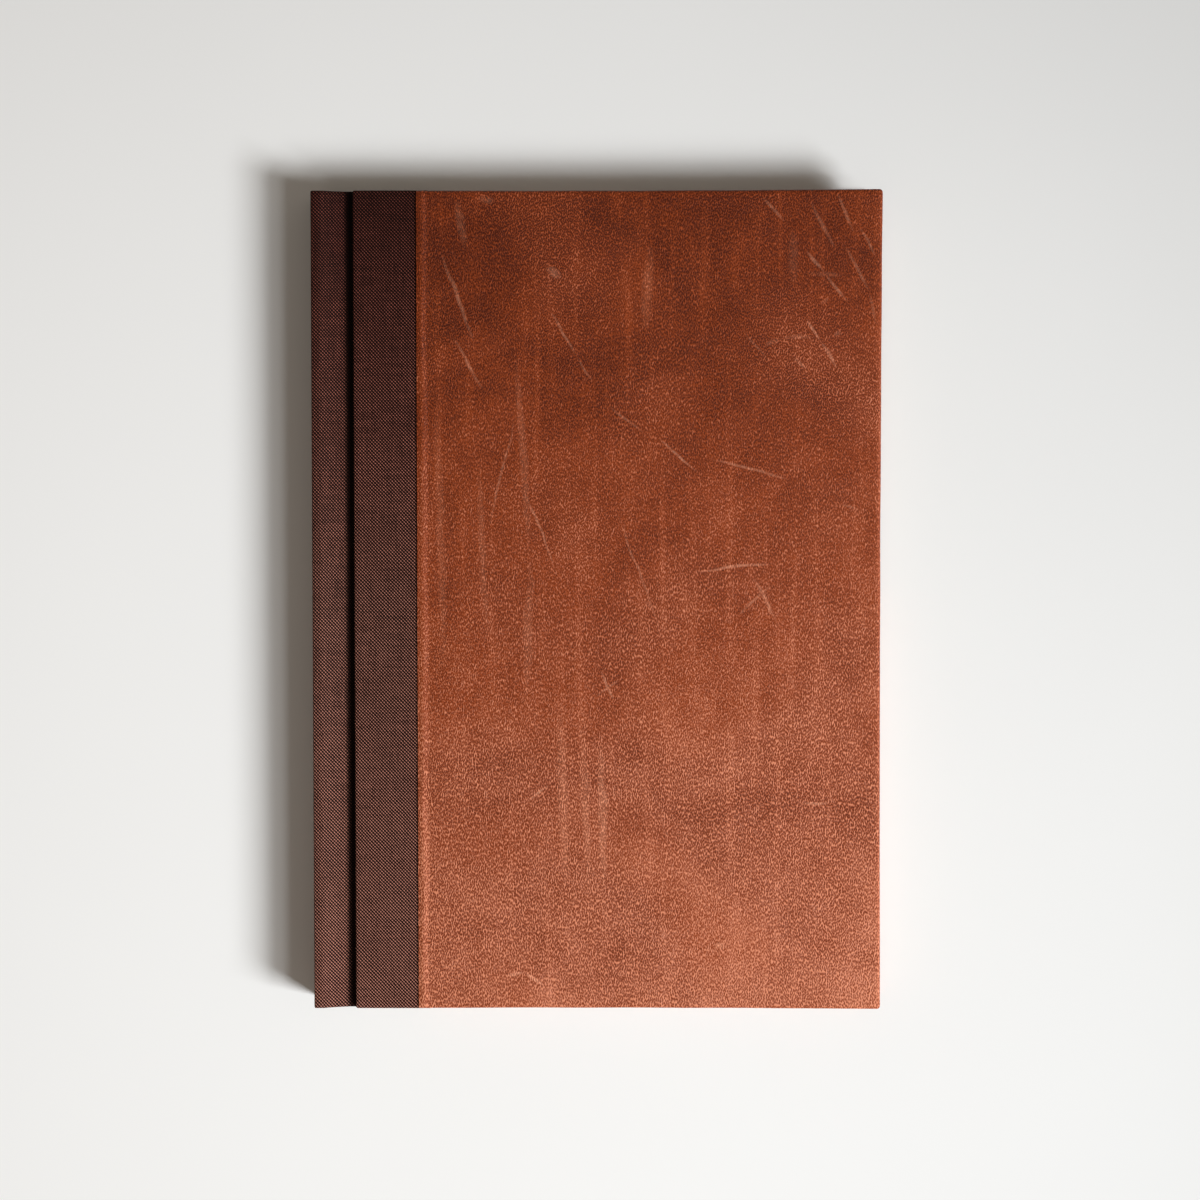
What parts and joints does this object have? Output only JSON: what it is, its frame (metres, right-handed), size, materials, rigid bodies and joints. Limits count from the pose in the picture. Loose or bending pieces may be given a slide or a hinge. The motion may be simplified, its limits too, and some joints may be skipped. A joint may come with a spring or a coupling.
{
  "type": "sketchbook",
  "caption": "Hardback sketchbook with leather covers, a cloth square-back spine, hinged boards and a sewn block of plain leaves.",
  "frame": {"origin": "bottom centre of the closed book, on the surface that it lies on", "axes": "+X from the spine to the fore-edge, +Y from the tail to the head, +Z from the back cover to the front cover"},
  "size_m": [0.15, 0.216, 0.0148],
  "materials": {
    "drawing_paper": "matte",
    "endpaper": "matte",
    "kraft_paper": "matte",
    "binders_board": "matte",
    "leather": "satin",
    "book_cloth": "matte",
    "headband_cloth": "matte",
    "mull": "matte",
    "linen_tape": "matte",
    "linen_thread": "matte"
  },
  "bodies": {
    "text_block": {"page_block": "drawing_paper", "front_flyleaf": "endpaper", "back_flyleaf": "endpaper", "sewing_thread": "linen_thread", "sewing_tapes": "linen_tape", "spine_mull": "mull", "spine_lining_paper": "kraft_paper", "head_headband": "headband_cloth", "tail_headband": "headband_cloth", "spine_board": "binders_board", "spine_cloth": "book_cloth", "front_joint_cloth": "book_cloth", "front_hinge_lining": "mull", "front_endpaper_hinge": "endpaper", "back_joint_cloth": "book_cloth", "back_hinge_lining": "mull", "back_endpaper_hinge": "endpaper"},
    "front_cover": {"front_board": "binders_board", "front_leather": "leather", "front_board_cloth": "book_cloth", "front_infill_card": "binders_board", "front_mull_flange": "mull", "front_tape_slips": "linen_tape", "front_pastedown": "endpaper"},
    "back_cover": {"back_board": "binders_board", "back_leather": "leather", "back_board_cloth": "book_cloth", "back_infill_card": "binders_board", "back_mull_flange": "mull", "back_tape_slips": "linen_tape", "back_pastedown": "endpaper"}
  },
  "joints": [
    {"name": "front_cover_hinge", "type": "hinge", "parent": "text_block", "child": "front_cover", "pos_m": [-0.06972, 0, 0.01352], "axis": [0, -1, 0], "range_deg": [0, 178], "deforming": ["front_joint_cloth", "front_hinge_lining", "front_endpaper_hinge"]},
    {"name": "back_cover_hinge", "type": "hinge", "parent": "text_block", "child": "back_cover", "pos_m": [-0.06972, 0, 0.0013], "axis": [0, 1, 0], "range_deg": [0, 178], "deforming": ["back_joint_cloth", "back_hinge_lining", "back_endpaper_hinge"]}
  ]
}
